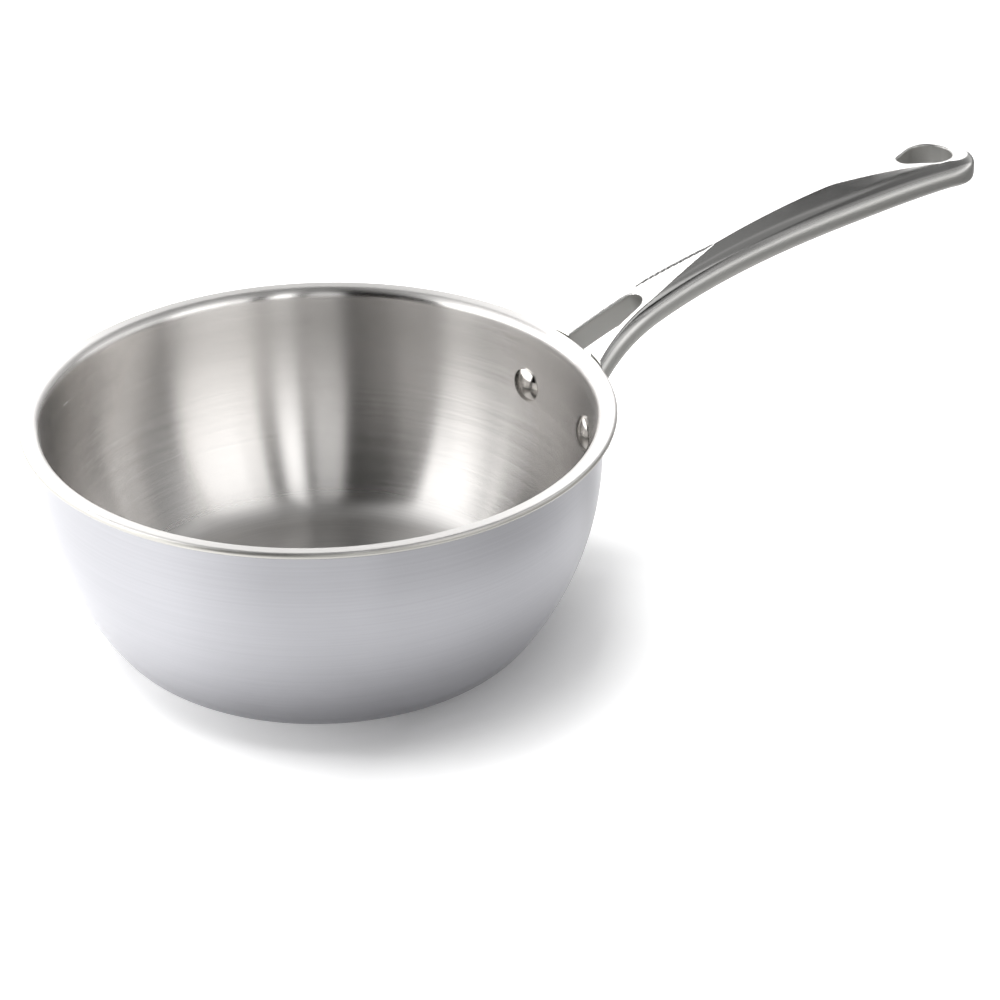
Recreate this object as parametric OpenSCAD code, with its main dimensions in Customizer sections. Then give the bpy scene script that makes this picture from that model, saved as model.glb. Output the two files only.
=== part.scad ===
// Saucier pan, 24 cm: a clad bowl with a flared lip and a riveted cast handle.
// Millimetres. The origin is the centre of the base on the resting plane,
// +Z is up, and the handle runs out along +X. The pan is the same on both
// sides of the XZ plane.

/* [Bowl] */
// Diameter across the outside of the lip
rim_d = 240; // [216:1:300]
// Height from the resting plane to the top of the lip
bowl_h = 100; // [88:1:120]
// Diameter of the flat base
base_d = 150; // [110:1:176]
// Outside radius of the corner between base and wall
corner_r = 20; // [8:1:30]
// Height of the straight band below the lip
band_h = 13.5; // [3:0.5:18]

/* [Clad wall] */
// Thickness of the inner stainless steel skin
inner_skin_t = 0.5; // [0.3:0.1:1]
// Thickness of the aluminium core
core_t = 1.7; // [1:0.1:3]
// Thickness of the outer stainless steel skin
outer_skin_t = 0.5; // [0.3:0.1:1]

/* [Lip] */
// How far the lip stands out past the wall
lip_out = 5.5; // [3:0.5:7]
// Bend radius on the outside of the lip
lip_bend_r = 1.5; // [1:0.5:8]
// Slope of the lip's rim above level, past the bend
lip_slope = 5; // [1:1:20]

/* [Handle grip] */
// How far the handle's tip reaches past the lip
handle_l = 194; // [180:1:220]
// Radius of the arch, measured along the ridge on top of the handle
arch_r = 400; // [330:5:520]
// How far the crest of the arch lies past the lip
crest_out = 198; // [180:1:225]
// Depth of the prongs' top at the wall below the top of the lip
root_drop = 0.5; // [0:0.5:4]
// Width of the grip at its widest
grip_w = 37; // [28:0.5:42]
// Thickness of the grip's rounded section at its thickest, below the crown
grip_h = 14.5; // [13:0.5:20]
// How far the widest place lies past the lip
grip_out = 140; // [110:1:155]
// Thickness at the tip
tip_h = 13.5; // [11:0.5:17]
// Length of the rounded nose at the tip
nose_l = 20; // [12:1:24]
// Roundness of the grip's section: 2 is an ellipse, and more is squarer
section_n = 2.5; // [2:0.1:4]
// Roundness of the tip, seen from the side
tip_n = 4.4; // [2.4:0.1:6]
// Roundness of the tip, seen from above
nose_n = 2.5; // [2:0.1:3.5]
// Slope of the crown's two faces, which meet in the ridge along the top
crown_a = 9; // [4:0.5:12]

/* [Channel under the grip] */
// How far the channel's near end lies past the lip
channel_out = 46; // [40:1:60]
// Length of the channel
channel_l = 108; // [60:1:114]
// Metal left above the channel
channel_roof = 4; // [3:0.5:6]
// Metal left at each side of the channel
channel_side = 3.6; // [3:0.2:6]

/* [Handle fork] */
// Width of the waist, where the fork begins
waist_w = 24.5; // [22:0.5:32]
// Thickness of the waist, below the crown
waist_h = 13; // [11:0.5:16]
// How far the waist lies past the lip
waist_out = 28; // [22:1:36]
// How much wider each side is where the prongs reach the wall
flare_w = 11; // [4:0.5:13]
// How far the closed end of the slot lies past the lip
slot_end_out = 29; // [23:1:36]
// Radius of the slot's closed end
slot_end_r = 5.5; // [4:0.5:7]
// Width of the slot at the wall
slot_mouth_w = 20; // [14:0.5:24]
// How far past the lip the point lies where the flat on top begins
flat_tip_out = 65; // [52:1:80]
// Width of that flat at the slot's closed end
flat_w = 15; // [10:0.5:18]
// Slope of that flat, as its depth at the slot's closed end
flat_depth = 1.2; // [0.8:0.1:2]
// Height of the step at that flat's edges
flat_step = 0.3; // [0.1:0.1:0.6]

/* [Hanging hole] */
// Radius of the round end, nearest the tip
hole_r = 10; // [6:0.5:11]
// Radius of the narrow end
hole_small_r = 4.5; // [3:0.5:6]
// Length of the hole
hole_l = 26; // [22:0.5:32]
// Metal between the hole and the tip
hole_margin = 9; // [7:0.5:14]
// How far past the lip the flat round the hole begins
hole_flat_out = 123; // [110:1:140]
// Depth of that flat at the hole's round end
hole_flat_depth = 1.6; // [0.8:0.1:2.4]

/* [Mounting plate] */
// Length of the plate along the wall, measured straight across
plate_l = 74; // [70:1:92]
// Height of the plate
plate_h = 24; // [20:1:28]
// Thickness of the plate
plate_t = 6.5; // [3:0.5:7]
// Depth of the plate's middle below the top of the lip
plate_drop = 25; // [24:1:32]

/* [Rivets] */
// Angle between the rivets, seen from the pan's axis
rivet_angle = 26; // [25:0.5:32]
// Depth of the rivets below the top of the lip
rivet_drop = 28; // [24:1:32]
// Shank diameter
rivet_d = 6.4; // [5:0.1:8]
// Diameter of the head inside the pan
head_d = 15; // [11:0.5:16]
// Rise of the head inside the pan
head_h = 3.4; // [2:0.1:4]
// Diameter of the closed end outside
tail_d = 10; // [9:0.5:11]
// Rise of the closed end outside
tail_h = 2; // [1:0.1:3]
// Height of the straight edge around the head
head_rim_h = 0.8; // [0.3:0.1:1]
// Height of the straight edge around the closed end
tail_rim_h = 0.4; // [0.2:0.1:0.7]

/* [Fits] */
// Radial gap between a rivet's shank and its hole
rivet_gap = 0.05; // [0.02:0.01:0.15]
// Gap between the fork and the lip that it passes under
lip_gap = 0.6; // [0.3:0.1:1.5]

/* [Hidden] */
$fn = 240;

// Colours
steel_brushed = "#c4c5c8";
steel_polished = "#dcdddf";
aluminium = "#d2d0cc";

// The wall's profile: a flat base, a corner arc, one long wall arc, a straight
// band and the lip. Each layer follows it at its own depth below the outside.
wall_t = inner_skin_t + core_t + outer_skin_t;
body_r = rim_d / 2 - lip_out;
base_r = base_d / 2;
nose_r = wall_t / 2;
nose_x = rim_d / 2 - nose_r;
// The lip's bend, about this centre, runs on into a rim of this length and
// slope. A wide bend all but reaches the round nose by itself, and ends steeper
lip_x = body_r + lip_bend_r;
lip_mid_r = lip_bend_r + nose_r;
lip_a = max(lip_slope, 1 + asin(max(0, lip_x - nose_x) / lip_mid_r));
lip_rim = (nose_x - lip_x + lip_mid_r * sin(lip_a)) / cos(lip_a);
lip_z = bowl_h - nose_r - lip_mid_r * cos(lip_a) - lip_rim * sin(lip_a);
arc_top_z = lip_z - band_h;
arc_run = body_r - base_r;
arc_rise = arc_top_z - corner_r;
wall_r = (arc_run * arc_run + arc_rise * arc_rise - corner_r * corner_r) / (2 * (arc_run - corner_r));
arc_x = body_r - wall_r;
// Direction from the wall arc's centre through the corner arc's centre
tangent_a = atan2(corner_r - arc_top_z, base_r - arc_x);

// Places along the handle, from the pan's axis
rim_r = rim_d / 2;
tip_x = rim_r + handle_l;
crest_x = rim_r + crest_out;
grip_x = rim_r + grip_out;
waist_x = rim_r + waist_out;
slot_end_x = rim_r + slot_end_out;
flat_tip_x = rim_r + flat_tip_out;
hole_flat_x = rim_r + hole_flat_out;
channel_x = rim_r + channel_out;
root_x = body_r - 9;
plate_r = body_r + plate_t;
plate_z = bowl_h - plate_drop;
rivet_z = bowl_h - rivet_drop;

// The handle's arch is a circle in the XZ plane, through the prongs' roots
root_a = asin((crest_x - body_r) / arch_r);
arch_z = bowl_h - root_drop - arch_r * cos(root_a);
crest_z = arch_z + arch_r;
hole_x = tip_x - hole_margin - hole_r;
hole_span = hole_l - hole_r - hole_small_r;
// Angle at which the hole's straight sides touch its two round ends
hole_a = acos((hole_r - hole_small_r) / hole_span);
slot_x = slot_end_x - slot_end_r;
// The channel ends short of the hole
channel_run = min(channel_l, hole_x - hole_span - hole_small_r - 2 - channel_x);
section_points = 40;
grip_steps = 34;
nose_steps = 12;
wall_cones = 4;
channel_steps = 14;
over = 1;

function smooth(t) = let (u = max(0, min(1, t))) u * u * (3 - 2 * u);
function flare(x) = flare_w * pow(max(0, waist_x - x) / (waist_x - body_r), 2);
// Half the rounded section's width, without the flare, and its thickness
function half_width(x) =
    waist_w / 2 + (grip_w - waist_w) / 2 * smooth((x - waist_x) / (grip_x - waist_x));
function thickness(x) =
    waist_h + (grip_h - waist_h) * smooth((x - waist_x) / (grip_x - waist_x))
    - (grip_h - tip_h) * smooth((x - grip_x) / (tip_x - grip_x));
// The crown's faces touch the rounded section this far to the side of the ridge
function crown_lean(x) =
    pow(tan(crown_a) * 2 * half_width(x) / thickness(x), 1 / (section_n - 1));
function crown_level(x) = pow(1 + pow(crown_lean(x), section_n), -1 / section_n);
function crown_reach(x) = half_width(x) * crown_lean(x) * crown_level(x);
// How far the ridge rises over the rounded section
function crown_rise(x) =
    crown_reach(x) * tan(crown_a) - thickness(x) / 2 * (1 - crown_level(x));
// How far the underside lies below the ridge
function bottom(x) = crown_rise(x) + thickness(x);
function arch_angle(x) = asin((crest_x - x) / arch_r);
// A point of the handle: x along the ridge, w to the side, q below the ridge
function handle_point(x, w, q) =
    let (a = arch_angle(x)) [crest_x - (arch_r - q) * sin(a), w, arch_z + (arch_r - q) * cos(a)];
function power(v, p) = sign(v) * pow(abs(v), p);
// The section at x: t goes from 0 to 1 along the nose, u is how far out a point
// of height v may be, and the nose takes its share of that. On the upper side
// the crown lifts each point to its slanting face
function section(x) =
    let (
        t = max(0, x - (tip_x - nose_l)) / nose_l,
        n = section_n + (tip_n - section_n) * smooth(t),
        h = thickness(x) / 2,
        rise = crown_rise(x),
        reach = crown_reach(x),
        top = pow(1 - pow(t, n), 1 / n)
    ) [
        for (i = [0:section_points - 1])
            let (
                a = 360 * i / section_points,
                v = top * power(sin(a), 2 / n),
                u = pow(max(0, 1 - pow(abs(v), n)), 1 / n),
                share = pow(max(0, pow(u, nose_n) - pow(t, nose_n)), 1 / nose_n),
                side = half_width(x) * share,
                curve = h * (1 - pow(max(0, 1 - pow(share, section_n)), 1 / section_n)),
                lift = v > 0 && side < reach ? rise + curve - side * tan(crown_a) : 0
            ) handle_point(x, sign(cos(a)) * (flare(x) + side), rise + h - h * v - lift * (1 - smooth(t)))
    ];
function flat_share(x) = (flat_tip_x - x) / (flat_tip_x - slot_end_x);

// Skins a row of rings that each have the same number of points
module loft(rings) {
    count = len(rings[0]);
    last = len(rings) - 1;
    polyhedron(
        points = [for (ring = rings) each ring],
        faces = [
            [for (i = [0:count - 1]) i],
            for (k = [0:last - 1], i = [0:count - 1])
                let (a = k * count + i, b = k * count + (i + 1) % count) each
                    [[a, a + count, b], [b, a + count, b + count]],
            [for (i = [count - 1:-1:0]) last * count + i]
        ]);
}

// Half section of everything inside the bowl's surface at this depth
module filled_profile(depth) {
    translate([0, depth]) square([base_r, corner_r]);
    intersection() {
        translate([base_r, corner_r]) circle(r = corner_r - depth);
        translate([0, 0]) square([body_r, corner_r]);
    }
    // Between the corner and the wall arc
    intersection() {
        translate([arc_x, arc_top_z]) circle(r = wall_r - depth);
        polygon([
            [0, corner_r], [base_r, corner_r],
            [arc_x + 2 * wall_r * cos(tangent_a), arc_top_z + 2 * wall_r * sin(tangent_a)],
            [arc_x + 2 * wall_r, arc_top_z], [0, arc_top_z]
        ]);
    }
    translate([0, arc_top_z]) square([body_r - depth, band_h]);
    // Above the lip's bend and its rim
    difference() {
        translate([0, lip_z]) square([rim_d / 2 + over, bowl_h - lip_z + over]);
        translate([lip_x, lip_z]) {
            circle(r = lip_bend_r + depth);
            rotate(lip_a)
                translate([0, -bowl_h]) square([rim_d, bowl_h + lip_bend_r + depth]);
        }
    }
}

// What the lip keeps: its bend, its rim and the round nose
module lip_limit() {
    far = 6 * lip_mid_r;
    square([lip_x, lip_z]);
    translate([lip_x, lip_z]) {
        polygon([[0, 0], [-far, 0], [-far, far], [-far * sin(lip_a), far * cos(lip_a)]]);
        rotate(lip_a) {
            square([lip_rim, far]);
            translate([lip_rim, lip_mid_r]) circle(r = nose_r);
        }
    }
}

// One layer of the clad wall, between two depths below the outside
module layer(depth, t) {
    difference() {
        rotate_extrude()
            intersection() {
                difference() {
                    filled_profile(depth);
                    filled_profile(depth + t);
                }
                lip_limit();
            }
        rivet_holes();
    }
}

module at_rivet(side) {
    rotate([0, 0, side * rivet_angle / 2])
        translate([0, 0, rivet_z])
            rotate([0, 90, 0])
                children();
}

module rivet_holes() {
    for (side = [-1, 1])
        at_rivet(side)
            translate([0, 0, body_r / 2]) cylinder(h = body_r, d = rivet_d + 2 * rivet_gap);
}

module outer_skin() {
    color(steel_brushed) layer(0, outer_skin_t);
}

module aluminium_core() {
    color(aluminium) layer(outer_skin_t, core_t);
}

module inner_skin() {
    color(steel_brushed) layer(outer_skin_t + core_t, inner_skin_t);
}

// What the handle leaves free: the bowl as a solid block, with cones that touch
// its wall arc, and a square step that clears the lip
module bowl_block() {
    foot = plate_z - plate_h;
    turn = asin((arc_top_z - foot) / wall_r) / wall_cones;
    cone_r = wall_r / cos(turn / 2);
    rotate_extrude()
        polygon([
            [0, foot],
            for (i = [wall_cones:-1:0])
                let (a = (i + 0.5) * turn) [arc_x + cone_r * cos(a), arc_top_z - cone_r * sin(a)],
            [body_r, lip_z - lip_gap],
            [rim_d / 2 + lip_gap, lip_z - lip_gap],
            [rim_d / 2 + lip_gap, 2 * bowl_h],
            [0, 2 * bowl_h]
        ]);
}

// The grip and both prongs, before the slot, the flats, the channel and the hole
module grip_blank() {
    grip_end = tip_x - nose_l;
    loft([
        for (i = [0:grip_steps])
            section(root_x + (grip_end - root_x) * i / grip_steps),
        for (i = [1:nose_steps])
            section(grip_end + nose_l * sin(89 * i / nose_steps))
    ]);
}

// The flat on the fork, which begins at a point and widens on to the prongs
module flat_cut() {
    loft([
        for (i = [0:grip_steps])
            let (
                x = root_x + (flat_tip_x - over - root_x) * i / grip_steps,
                w = flat_w / 2 * flat_share(x) + flare(x),
                q = flat_depth * flat_share(x) + flat_step
            ) [
                handle_point(x, w, q), handle_point(x, w, -grip_h),
                handle_point(x, -w, -grip_h), handle_point(x, -w, q)
            ]
    ]);
}

// The flat that slopes down to the tip, round the hole
module hole_flat_cut() {
    from = hole_flat_x - 2 * over;
    to = tip_x + over;
    loft([
        for (i = [0:grip_steps])
            let (
                x = from + (to - from) * i / grip_steps,
                q = hole_flat_depth * (x - hole_flat_x) / (hole_x - hole_flat_x)
            ) [
                handle_point(x, grip_w, q), handle_point(x, grip_w, -grip_h),
                handle_point(x, -grip_w, -grip_h), handle_point(x, -grip_w, q)
            ]
    ]);
}

// The channel under the grip, which makes the casting lighter
module channel_cut() {
    loft([
        for (i = [-channel_steps:channel_steps])
            let (
                reach = sin(88 * i / channel_steps),
                x = channel_x + channel_run / 2 * (1 + reach),
                share = pow(1 - pow(abs(reach), 3), 1 / 3),
                base = bottom(x),
                deep = (base - channel_roof) * share,
                w = (half_width(x) - channel_side) * share
            ) [
                for (k = [0:channel_steps])
                    let (a = 180 * k / channel_steps)
                        handle_point(x, w * power(cos(a), 2 / 3), base - deep * power(sin(a), 2 / 3)),
                handle_point(x, -w, base + over), handle_point(x, w, base + over)
            ]
    ]);
}

// The slot between the prongs, square to the top at its closed end
module slot_cut() {
    run = (slot_x - body_r) / cos(arch_angle(slot_x));
    // The sides go on past the wall at the same slant
    past = 1.5;
    mouth = slot_end_r + past * (slot_mouth_w / 2 - slot_end_r);
    translate([slot_x, 0, handle_point(slot_x, 0, 0)[2]])
        rotate([0, -arch_angle(slot_x), 0])
            linear_extrude(height = 8 * waist_h, center = true) {
                circle(r = slot_end_r);
                polygon([[0, slot_end_r], [0, -slot_end_r], [-past * run, -mouth], [-past * run, mouth]]);
            }
}

module hanging_hole() {
    translate([hole_x, 0, handle_point(hole_x, 0, 0)[2]])
        rotate([0, -arch_angle(hole_x), 0])
            linear_extrude(height = 4 * grip_h, center = true) {
                circle(r = hole_r);
                translate([-hole_span, 0]) circle(r = hole_small_r);
                polygon([
                    [-hole_r * cos(hole_a), hole_r * sin(hole_a)],
                    [-hole_span - hole_small_r * cos(hole_a), hole_small_r * sin(hole_a)],
                    [-hole_span - hole_small_r * cos(hole_a), -hole_small_r * sin(hole_a)],
                    [-hole_r * cos(hole_a), -hole_r * sin(hole_a)]
                ]);
            }
}

// The curved plate that lies against the bowl, with round ends
module plate_blank() {
    intersection() {
        rotate_extrude() translate([0, plate_z - plate_h]) square([plate_r, 2 * plate_h]);
        translate([body_r / 2, 0, plate_z])
            rotate([90, 0, 90])
                linear_extrude(height = body_r) {
                    square([plate_l - plate_h, plate_h], center = true);
                    for (side = [-1, 1])
                        translate([side * (plate_l - plate_h) / 2, 0]) circle(d = plate_h);
                }
    }
}

module handle() {
    color(steel_polished)
        difference() {
            union() {
                difference() {
                    grip_blank();
                    flat_cut();
                    hole_flat_cut();
                    channel_cut();
                    slot_cut();
                    hanging_hole();
                }
                plate_blank();
            }
            bowl_block();
            rivet_holes();
        }
}

// A shallow dome on a flat back, with its back at z = 0
module dome(d, h) {
    sphere_r = (d * d / 4 + h * h) / (2 * h);
    intersection() {
        translate([0, 0, h - sphere_r]) sphere(r = sphere_r);
        cylinder(h = h + over, d = d + over);
    }
}

// A rivet: a domed head that fits the inside of the bowl, a shank through the
// clad wall and the plate, and a closed end on the plate
module rivet(side) {
    inside_r = body_r - wall_t;
    color(steel_polished) {
        difference() {
            at_rivet(side)
                translate([0, 0, inside_r - head_h]) {
                    rotate([180, 0, 0]) translate([0, 0, -head_rim_h]) dome(head_d, head_h - head_rim_h);
                    translate([0, 0, head_rim_h]) cylinder(h = head_h, d = head_d);
                }
            wall_shell();
        }
        difference() {
            at_rivet(side)
                translate([0, 0, plate_r + tail_rim_h]) {
                    dome(tail_d, tail_h - tail_rim_h);
                    translate([0, 0, -2 * tail_rim_h]) cylinder(h = 2 * tail_rim_h, d = tail_d);
                }
            cylinder(h = bowl_h, r = plate_r);
        }
        at_rivet(side)
            translate([0, 0, inside_r - head_rim_h])
                cylinder(h = plate_r - inside_r + 2 * head_rim_h, d = rivet_d);
    }
}

// Everything outside the bowl's inner surface, near the rivets
module wall_shell() {
    rotate_extrude()
        difference() {
            translate([body_r / 2, rivet_z - head_d]) square([body_r, 2 * head_d]);
            filled_profile(wall_t);
        }
}

module rivet_left() {
    rivet(1);
}

module rivet_right() {
    rivet(-1);
}

outer_skin();
aluminium_core();
inner_skin();
handle();
rivet_left();
rivet_right();
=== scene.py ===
"""The looks of a 24 cm saucier pan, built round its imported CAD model.

The bowl's three clad layers and the rivets are turned round an axis by one
Geometry Nodes tree. The cast handle is meshed from a distance field, so that
its edges and the roots of its prongs are rounded as a casting's are.
Sizes are millimetres and meshes are metres, in the CAD model's frame.
"""

import logging
import math
from dataclasses import dataclass, field
from enum import Enum
from typing import Any, Callable, Sequence

import bmesh
import bpy
import numpy as np
from mathutils import Matrix, Vector

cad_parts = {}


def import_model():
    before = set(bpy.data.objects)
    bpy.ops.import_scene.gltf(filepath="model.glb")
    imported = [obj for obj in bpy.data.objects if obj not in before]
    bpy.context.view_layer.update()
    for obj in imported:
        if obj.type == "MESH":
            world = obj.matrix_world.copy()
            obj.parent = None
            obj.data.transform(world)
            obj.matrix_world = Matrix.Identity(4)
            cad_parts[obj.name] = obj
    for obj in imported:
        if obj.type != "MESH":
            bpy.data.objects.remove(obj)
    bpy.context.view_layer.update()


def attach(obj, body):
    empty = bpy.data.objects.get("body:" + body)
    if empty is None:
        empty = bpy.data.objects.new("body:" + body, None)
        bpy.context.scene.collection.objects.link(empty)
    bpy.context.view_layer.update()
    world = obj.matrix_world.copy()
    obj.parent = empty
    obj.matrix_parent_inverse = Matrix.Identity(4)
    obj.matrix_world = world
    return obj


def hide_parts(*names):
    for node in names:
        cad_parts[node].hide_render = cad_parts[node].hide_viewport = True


MM = 0.001
BODY = "root"
SATIN_AND_SHADE = "satin_and_shade"
log = logging.getLogger("saucier")

Point = tuple[float, float]
Field = Callable[[np.ndarray, np.ndarray, np.ndarray], np.ndarray]


class Slot(Enum):
    """The material slots."""

    OUTER = "brushed_outer_skin"
    CORE = "aluminium_core"
    INNER = "brushed_inner_skin"
    HANDLE = "polished_handle"
    RIVETS = "polished_rivets"


def linear(hex_colour: str) -> tuple[float, float, float, float]:
    """Turns an sRGB hex colour into linear RGBA.

    Args:
        hex_colour: Six hex digits after a hash.

    Returns:
        The linear colour with full alpha.
    """
    values = []
    for start in (1, 3, 5):
        c = int(hex_colour[start:start + 2], 16) / 255
        values.append(c / 12.92 if c <= 0.04045 else ((c + 0.055) / 1.055) ** 2.4)
    return (values[0], values[1], values[2], 1.0)


def add_node(
    tree: bpy.types.NodeTree,
    kind: str,
    inputs: dict[Any, Any] | None = None,
    stops: Sequence[Point] = (),
    **settings: Any,
) -> bpy.types.Node:
    """Adds a node with its settings, values and links.

    Args:
        tree: The node tree that gets the node.
        kind: Blender's name for the node type.
        inputs: For each input, by name or number, a value, an output socket,
            or a node whose first output is meant.
        stops: Places and grey levels, for a node with a colour ramp.
        settings: The node's own properties.

    Returns:
        The new node.
    """
    node = tree.nodes.new(kind)
    for name, value in settings.items():
        setattr(node, name, value)
    for key, value in (inputs or {}).items():
        if isinstance(value, bpy.types.Node):
            value = value.outputs[0]
        if isinstance(value, bpy.types.NodeSocket):
            tree.links.new(value, node.inputs[key])
        else:
            node.inputs[key].default_value = value
    for index, (place, level) in enumerate(stops):
        ramp = node.color_ramp.elements
        element = ramp[index] if index < 2 else ramp.new(place)
        element.position = place
        element.color = (level, level, level, 1)
    return node


def smooth_max(a: np.ndarray, b: np.ndarray, radius: float) -> np.ndarray:
    """The larger of two distances, with the edge between them rounded."""
    h = np.maximum(radius - np.abs(a - b), 0) / radius
    return np.maximum(a, b) + h * h * radius / 4


def smooth_min(a: np.ndarray, b: np.ndarray, radius: float) -> np.ndarray:
    """The smaller of two distances, with a fillet in the corner between them."""
    return -smooth_max(-a, -b, radius)


def smooth_step(t: np.ndarray) -> np.ndarray:
    """Goes from 0 to 1 with level ends."""
    u = np.clip(t, 0, 1)
    return u * u * (3 - 2 * u)


def arc(centre: Point, radius: float, start: float, end: float, steps: int) -> list[Point]:
    """Points along an arc, both ends included.

    Args:
        centre: The arc's centre.
        radius: Its radius.
        start: The first angle in degrees.
        end: The last angle in degrees.
        steps: The number of chords.

    Returns:
        The points in order.
    """
    angles = [math.radians(start + (end - start) * i / steps) for i in range(steps + 1)]
    return [(centre[0] + radius * math.cos(a), centre[1] + radius * math.sin(a)) for a in angles]


def sharpen(mesh: bpy.types.Mesh, degrees: float) -> None:
    """Shades a mesh smooth, and marks the edges that turn more than an angle as sharp."""
    work = bmesh.new()
    work.from_mesh(mesh)
    bmesh.ops.remove_doubles(work, verts=work.verts, dist=1e-7)
    bmesh.ops.recalc_face_normals(work, faces=work.faces)
    for face in work.faces:
        face.smooth = True
    for edge in work.edges:
        edge.smooth = edge.calc_face_angle(0.0) < math.radians(degrees)
    work.to_mesh(mesh)
    work.free()


def settle(piece: bpy.types.Object, slot: Slot, *nodes: str) -> bpy.types.Object:
    """Puts a finished piece on the body in place of CAD nodes.

    Args:
        piece: The finished object, at the origin.
        slot: Not used.
        nodes: The CAD nodes that it stands for.

    Returns:
        The same object.
    """
    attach(piece, BODY)
    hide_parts(*nodes)
    log.info("%s: %d faces, for %s", piece.name, len(piece.data.polygons), ", ".join(nodes))
    return piece


def new_object(name: str, mesh: bpy.types.Mesh) -> bpy.types.Object:
    """Makes an object at the origin and links it to the scene."""
    piece = bpy.data.objects.new(name, mesh)
    bpy.context.scene.collection.objects.link(piece)
    return piece


@dataclass(frozen=True)
class BrushedSteel:
    """Stainless sheet brushed round the pan's axis.

    The brushing leaves fine rings, so a lamp's reflection spreads across them,
    up and down the wall, and stays narrow along them.

    Attributes:
        name: The material's name.
        colour: The metal's colour.
        roughness: Roughness of the brushed part.
        anisotropy: How much more the rings scatter across than along.
        pitch: Distance between the coarser rings in mm. Real ones are about
            0.1 mm apart, too fine to show, so these are drawn wider.
        polish_z: Height above which the lip is polished, in mm.
        polish_roughness: Roughness of that polished part.
        base_roughness: Roughness of the flat base, which is brushed coarser.
        base_z: Height above which the wall's brushing begins, in mm.
    """

    name: str
    colour: str
    roughness: float
    anisotropy: float
    pitch: float
    polish_z: float
    polish_roughness: float
    base_roughness: float = 0.3
    base_z: float = 4

    def material(self) -> bpy.types.Material:
        """Builds the material."""
        material = bpy.data.materials.new(self.name)
        material.use_nodes = True
        tree = material.node_tree
        shader = tree.nodes["Principled BSDF"]
        place = add_node(tree, "ShaderNodeTexCoord").outputs["Object"]
        x, y, z = add_node(tree, "ShaderNodeSeparateXYZ", {0: place}).outputs
        # Along the rings, level
        along = add_node(tree, "ShaderNodeVectorMath", {
            0: (0, 0, 1), 1: place,
        }, operation="CROSS_PRODUCT")
        # The noise changes fast with radius and height, and slowly round the pan
        radius = add_node(tree, "ShaderNodeVectorMath", {0: along}, operation="LENGTH").outputs["Value"]
        turn = add_node(tree, "ShaderNodeMath", {0: y, 1: x}, operation="ARCTAN2")
        rings = add_node(tree, "ShaderNodeCombineXYZ", {0: radius, 1: z, 2: turn})
        scale = 1 / (self.pitch * MM)
        drawn = add_node(tree, "ShaderNodeVectorMath", {
            0: rings, 1: (scale, scale, 1.5),
        }, operation="MULTIPLY")
        noise = add_node(tree, "ShaderNodeTexNoise", {
            "Vector": drawn, "Scale": 1.0, "Detail": 3.0, "Roughness": 0.65,
        })
        polished = add_node(tree, "ShaderNodeMapRange", {
            0: z, 1: (self.polish_z - 0.6) * MM, 2: (self.polish_z + 0.6) * MM, 3: 0.0, 4: 1.0,
        }, interpolation_type="SMOOTHSTEP")
        brushed = add_node(tree, "ShaderNodeMapRange", {
            0: noise, 3: self.roughness - 0.04, 4: self.roughness + 0.04,
        })
        on_wall = add_node(tree, "ShaderNodeMapRange", {
            0: z, 1: self.base_z * MM, 2: (self.base_z + 14) * MM, 3: self.base_roughness, 4: brushed,
        }, interpolation_type="SMOOTHSTEP")
        gloss = add_node(tree, "ShaderNodeMix", {
            0: polished, 2: on_wall, 3: self.polish_roughness,
        }, data_type="FLOAT")
        tint = add_node(tree, "ShaderNodeMapRange", {0: noise, 1: 0.3, 2: 0.7, 3: 0.94, 4: 1.02})
        colour = add_node(tree, "ShaderNodeMix", {
            0: 1.0, 6: linear(self.colour), 7: tint,
        }, data_type="RGBA", blend_type="MULTIPLY").outputs[2]
        bump = add_node(tree, "ShaderNodeBump", {
            "Strength": 0.06, "Distance": 0.02 * MM, "Height": noise,
        })
        shader.inputs["Metallic"].default_value = 1.0
        shader.inputs["Anisotropic"].default_value = self.anisotropy
        shader.inputs["Anisotropic Rotation"].default_value = 0.25
        tree.links.new(colour, shader.inputs["Base Color"])
        tree.links.new(gloss.outputs[0], shader.inputs["Roughness"])
        tree.links.new(bump.outputs[0], shader.inputs["Normal"])
        tree.links.new(along.outputs[0], shader.inputs["Tangent"])
        return material


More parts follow.
